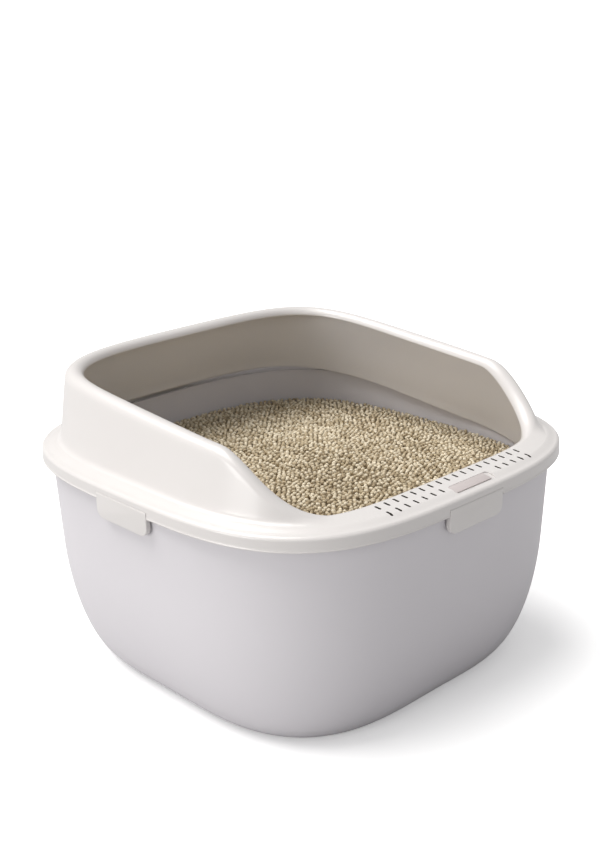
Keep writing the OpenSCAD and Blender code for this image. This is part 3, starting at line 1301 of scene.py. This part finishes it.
@dataclass
class LitterBed:
    """The heaped bed of short pellets."""

    plan: BoxPlan
    tub: Tub
    wall_level: float = 0.026
    wall_gap: float = 0.0004
    heap: float = 0.009
    wave: float = 0.0025
    wave_turns: Triple = (2100.0, 1700.0, 1000.0)
    body_steps: int = 96
    body_levels: tuple[float, ...] = (
        0.004, 0.006, 0.012, 0.025, 0.045, 0.07, 0.1, 0.13, 0.155, 0.17,
    )
    top_rings: int = 25
    top_step: float = 0.04
    sunk: float = 0.0045
    lump: float = 0.0007
    lump_scale: float = 300.0
    pellet_r: float = 0.0020
    pellet_l: float = 0.0044
    pellet_sides: tuple[int, int] = (7, 5)
    pellet_room: float = 1.4
    spacing: float = 0.0040
    crowding: float = 12.0
    seed: int = 7
    field_cells: int = 30
    layers: tuple[float, ...] = (-0.0032, -0.0003)
    lean_range: Point = (0.45, 0.55)
    least_size: Triple = (0.85, 0.85, 0.85)
    most_size: Triple = (1.15, 1.08, 1.08)
    draw_seeds: tuple[int, int, int] = (100, 200, 300)

    @property
    def level(self) -> float:
        """Height of the bed at the tub's wall."""
        return self.plan.rim_z - self.wall_level

    def surface(self, x: float, y: float) -> float:
        """Height of the bed.

        Args:
            x: Where, across the box.
            y: Where, along the box.

        Returns:
            The height.
        """
        across, onward, skew = self.wave_turns
        spread = math.hypot(x / self.plan.half_width, y / self.plan.half_length)
        edge = smooth_step(1.0 - spread)
        waves = math.sin(math.radians(across * x)) + math.cos(math.radians(onward * y - skew * x))
        return self.level + self.heap * edge + self.wave * edge * waves

    def reach(self, turn: float, z: float) -> float:
        """Distance from the middle to the bed's edge at an angle and a height."""
        wall = self.tub.inset(z, self.plan.tub_wall)
        return self.plan.tub.reach(turn) - wall - self.wall_gap

    def build(self, palette: Palette) -> list[Object]:
        """Make the bed's body and its loose top pellets.

        Args:
            palette: The finishes.

        Returns:
            The bed's objects.
        """
        bed = self._body(palette)
        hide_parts("litter_bed")
        pieces = [bed] + self._pellets(palette)
        for piece in pieces:
            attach(piece, "tub")
        return pieces

    def _body(self, palette: Palette) -> Object:
        """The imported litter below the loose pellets.

        Args:
            palette: The finishes.

        Returns:
            The body's object.
        """
        turns = [math.tau * step / self.body_steps for step in range(self.body_steps)]
        rings = [[around(turn, self.reach(turn, z), z) for turn in turns] for z in self.body_levels]
        for step in range(self.top_rings):
            ring = []
            for turn in turns:
                reach = self.reach(turn, self.level) * (1.0 - self.top_step * step)
                x, y = reach * math.cos(turn), reach * math.sin(turn)
                lumps = self.lump * noise(Vector((x, y, 0.0)) * self.lump_scale)
                ring.append(Vector((x, y, self.surface(x, y) - self.sunk + lumps)))
            rings.append(ring)
        mesh = Loft.through(rings, capped=True)
        return into_object("litter_body", mesh, palette.pellets, crease=70.0)

    def _grain(self, palette: Palette) -> Object:
        """One pellet: a short rod with rounded ends, lying along X.

        Args:
            palette: The finishes.

        Returns:
            The pellet's object, which the loose pellets copy.
        """
        mesh = bmesh.new()
        around_x, along_x = self.pellet_sides
        bmesh.ops.create_uvsphere(
            mesh, u_segments=around_x, v_segments=along_x, radius=self.pellet_r,
            matrix=Matrix.Rotation(QUARTER, 4, "Y"),
        )
        for vert in mesh.verts:
            vert.co.x += math.copysign(self.pellet_l / 2 - self.pellet_r, vert.co.x)
        return into_object("pellet_shape", mesh, palette.pellets, crease=180.0)

    def _field(self, layer: int, quarter: int, palette: Palette) -> Object:
        """One quarter of the sheet that a layer of pellets is strewn over.

        Args:
            layer: Number of the layer, from the bottom.
            quarter: Number of the quarter turn.
            palette: The finishes.

        Returns:
            The sheet's object.
        """
        mesh = bmesh.new()
        spin = Matrix.Rotation(quarter * QUARTER, 4, "Z")
        place = spin @ Matrix.Translation((0.5, 0.5, 0.0))
        cells = self.field_cells
        bmesh.ops.create_grid(mesh, x_segments=cells, y_segments=cells, size=0.5, matrix=place)
        for vert in mesh.verts:
            turn = math.atan2(vert.co.y, vert.co.x)
            share = max(abs(vert.co.x), abs(vert.co.y))
            reach = (self.reach(turn, self.level) - self.pellet_r * self.pellet_room) * share
            x, y = reach * math.cos(turn), reach * math.sin(turn)
            vert.co = Vector((x, y, self.surface(x, y) + self.layers[layer]))
        name = f"pellets_{layer + 1}_{quarter + 1}"
        return into_object(name, mesh, palette.pellets, crease=180.0)

    def _strew(self, draw: int, shape: Object) -> NodeTree:
        """Geometry nodes that turn a sheet into strewn pellets, each with its own tint.

        Args:
            draw: Number of the sheet, which sets its random seeds.
            shape: The pellet to copy.

        Returns:
            The node tree.
        """
        tree = bpy.data.node_groups.new(f"strew_pellets_{draw + 1}", "GeometryNodeTree")
        for way in ("INPUT", "OUTPUT"):
            tree.interface.new_socket("Geometry", in_out=way, socket_type="NodeSocketGeometry")
        wires = Wiring(tree)
        turn_seed, size_seed, tint_seed = (seed + draw for seed in self.draw_seeds)
        roll, pitch = self.lean_range
        least, most = (-roll, -pitch, 0.0), (roll, pitch, math.tau)
        turn = self._random(tree, "FLOAT_VECTOR", least, most, turn_seed)
        size = self._random(tree, "FLOAT_VECTOR", self.least_size, self.most_size, size_seed)
        tint = self._random(tree, "FLOAT", 0.0, 1.0, tint_seed)
        points = tree.nodes.new("GeometryNodeDistributePointsOnFaces")
        points.distribute_method = "POISSON"
        wires.fill(points, {
            "Mesh": tree.nodes.new("NodeGroupInput").outputs["Geometry"],
            "Distance Min": self.spacing,
            "Density Max": self.crowding / self.spacing**2,
            "Seed": self.seed + draw,
        })
        source = wires.add("GeometryNodeObjectInfo", {"Object": shape})
        copies = wires.add("GeometryNodeInstanceOnPoints", {
            "Points": points.outputs["Points"],
            "Instance": source.outputs["Geometry"],
            "Rotation": turn,
            "Scale": size,
        })
        mark = tree.nodes.new("GeometryNodeStoreNamedAttribute")
        mark.domain = "INSTANCE"
        wires.fill(mark, {"Name": TINT, "Geometry": copies.outputs["Instances"], "Value": tint})
        whole = wires.add("GeometryNodeRealizeInstances", {"Geometry": mark.outputs["Geometry"]})
        wires.add("NodeGroupOutput", {"Geometry": whole.outputs["Geometry"]})
        return tree

    @staticmethod
    def _random(tree: NodeTree, kind: str, low: object, high: object, seed: int) -> NodeSocket:
        """Add a seeded random value.

        Args:
            tree: The tree to add to.
            kind: Its data type.
            low: Least value.
            high: Most value.
            seed: Seed of its draws.

        Returns:
            The value's output.
        """
        node = tree.nodes.new("FunctionNodeRandomValue")
        node.data_type = kind
        values = {"Min": low, "Max": high, "Seed": seed}
        for socket in node.inputs:
            if socket.enabled and not socket.hide and socket.name in values:
                socket.default_value = values[socket.name]
        return next(socket for socket in node.outputs if socket.enabled)

    def _pellets(self, palette: Palette) -> list[Object]:
        """Strew the layers of loose pellets over the bed.

        Args:
            palette: The finishes.

        Returns:
            The pellets' objects, one for each quarter of each layer.
        """
        shape = self._grain(palette)
        pieces = []
        for draw in range(4 * len(self.layers)):
            piece = self._field(draw // 4, draw % 4, palette)
            strewn = piece.modifiers.new("strew", "NODES")
            strewn.node_group = self._strew(draw, shape)
            bake(piece, crease=180.0)
            pieces.append(piece)
        bpy.data.objects.remove(shape)
        return pieces


@dataclass(frozen=True)
class Studio:
    """Pale floor, soft light and the camera."""

    azimuth: float = -43.93
    elevation: float = 18.88
    distance: float = 1.2620
    target: Triple = (0.00801, 0.0, 0.22781)
    roll: float = -1.06
    sensor: float = 36.0
    focal_share: float = 1273.04 / 853.0
    shift: Point = (-0.0064, -0.0019)
    floor_size: float = 300.0
    floor_roughness: float = 0.9
    floor_shine: float = 0.1
    floor_bounce: Colour = (0.55, 0.55, 0.555, 1.0)
    floor_seen: Colour = (0.95, 0.95, 0.95, 1.0)
    floor_glow: Colour = (1.0, 1.0, 1.0, 1.0)
    floor_lift: float = 0.27
    surround: float = 0.50
    surround_colour: Colour = (1.0, 0.995, 1.0, 1.0)
    lamp_colour: Triple = (1.0, 0.99, 0.975)
    key_power: float = 3.1
    key_spread: float = 50.0
    key_from: Triple = (-0.33, 0.45, 1.25)
    fill_power: float = 1.35
    fill_spread: float = 28.0
    fill_from: Triple = (-1.0, 0.12, 0.13)

    def build(self) -> None:
        """Make the floor, the lights and the camera."""
        self._floor()
        self._surround()
        self._sun("key", self.key_from, self.key_power, self.key_spread)
        self._sun("side_fill", self.fill_from, self.fill_power, self.fill_spread)
        self._camera()

    def _floor(self) -> None:
        """A wide pale floor, brighter to the camera than to bounced light."""
        mesh = bmesh.new()
        bmesh.ops.create_grid(mesh, x_segments=2, y_segments=2, size=self.floor_size)
        make = FinishWiring("studio_floor")
        seen = make.tree.nodes.new("ShaderNodeLightPath").outputs["Is Camera Ray"]
        material = make.done({
            "Base Color": make.ramp(seen, self.floor_bounce, self.floor_seen).outputs["Color"],
            "Roughness": self.floor_roughness,
            "Specular IOR Level": self.floor_shine,
            "Emission Color": self.floor_glow,
            "Emission Strength": make.maths("MULTIPLY", seen, self.floor_lift),
        })
        into_object("floor", mesh, material)

    def _surround(self) -> None:
        """An even surround, brighter to the camera than to bounced light."""
        world = bpy.data.worlds.new("surround")
        world.use_nodes = True
        wires = Wiring(world.node_tree)
        seen = wires.tree.nodes.new("ShaderNodeLightPath").outputs["Is Camera Ray"]
        wires.fill(wires.tree.nodes["Background"], {
            "Color": self.surround_colour,
            "Strength": wires.span(seen, self.surround, 1.0),
        })
        bpy.context.scene.world = world

    def _sun(self, name: str, source: Triple, power: float, spread: float) -> None:
        """Add a soft far light.

        Args:
            name: Name of the light.
            source: Direction towards the light.
            power: Strength of the light.
            spread: Apparent size of the light in degrees.
        """
        lamp = bpy.data.lights.new(name, "SUN")
        lamp.energy = power
        lamp.angle = math.radians(spread)
        lamp.color = self.lamp_colour
        light = bpy.data.objects.new(name, lamp)
        light.location = Vector(source) * 2.0
        light.rotation_euler = Vector(source).to_track_quat("Z", "Y").to_euler()
        bpy.context.scene.collection.objects.link(light)

    def _camera(self) -> None:
        """The camera, three-quarter view from the front left."""
        turn, rise = math.radians(self.azimuth), math.radians(self.elevation)
        flat = math.cos(rise)
        back = Vector((math.sin(turn) * flat, -math.cos(turn) * flat, math.sin(rise)))
        data = bpy.data.cameras.new("camera")
        data.sensor_width = self.sensor
        data.lens = self.sensor * self.focal_share
        data.shift_x, data.shift_y = self.shift
        camera = bpy.data.objects.new("camera", data)
        camera.location = Vector(self.target) + back * self.distance
        aim = (-back).to_track_quat("-Z", "Y")
        tip = Matrix.Rotation(math.radians(self.roll), 3, "Z").to_quaternion()
        camera.rotation_mode = "QUATERNION"
        camera.rotation_quaternion = aim @ tip
        bpy.context.scene.collection.objects.link(camera)
        bpy.context.scene.camera = camera
        bpy.context.scene.view_settings.view_transform = "Standard"


def dress_pins(palette: Palette) -> None:
    """Give the four hinge pins their steel.

    Args:
        palette: The finishes.
    """
    for side in Side:
        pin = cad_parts[f"pin_{side.label}"]
        pin.data.materials.clear()
        pin.data.materials.append(palette.steel)


def main() -> None:
    """Build the box, its litter and the studio."""
    logging.basicConfig(level=logging.INFO, format="%(name)s: %(message)s")
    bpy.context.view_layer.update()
    plan = BoxPlan.from_frame()
    palette = Palette()
    Studio().build()
    tub = Tub(plan)
    latch_plan = LatchPlan(plan)
    badge = BadgePlate(plan)
    pieces = [tub.build(palette)]
    pieces.append(SplashGuard(plan, latch_plan).build(palette, badge))
    pieces.append(badge.build(palette))
    pieces += [Latch(latch_plan, side).build(palette) for side in Side]
    pieces += LitterBed(plan, tub).build(palette)
    dress_pins(palette)
    for piece in pieces:
        LOG.info("%s: %d faces", piece.name, len(piece.data.polygons))


if __name__ == "__main__":
    main()
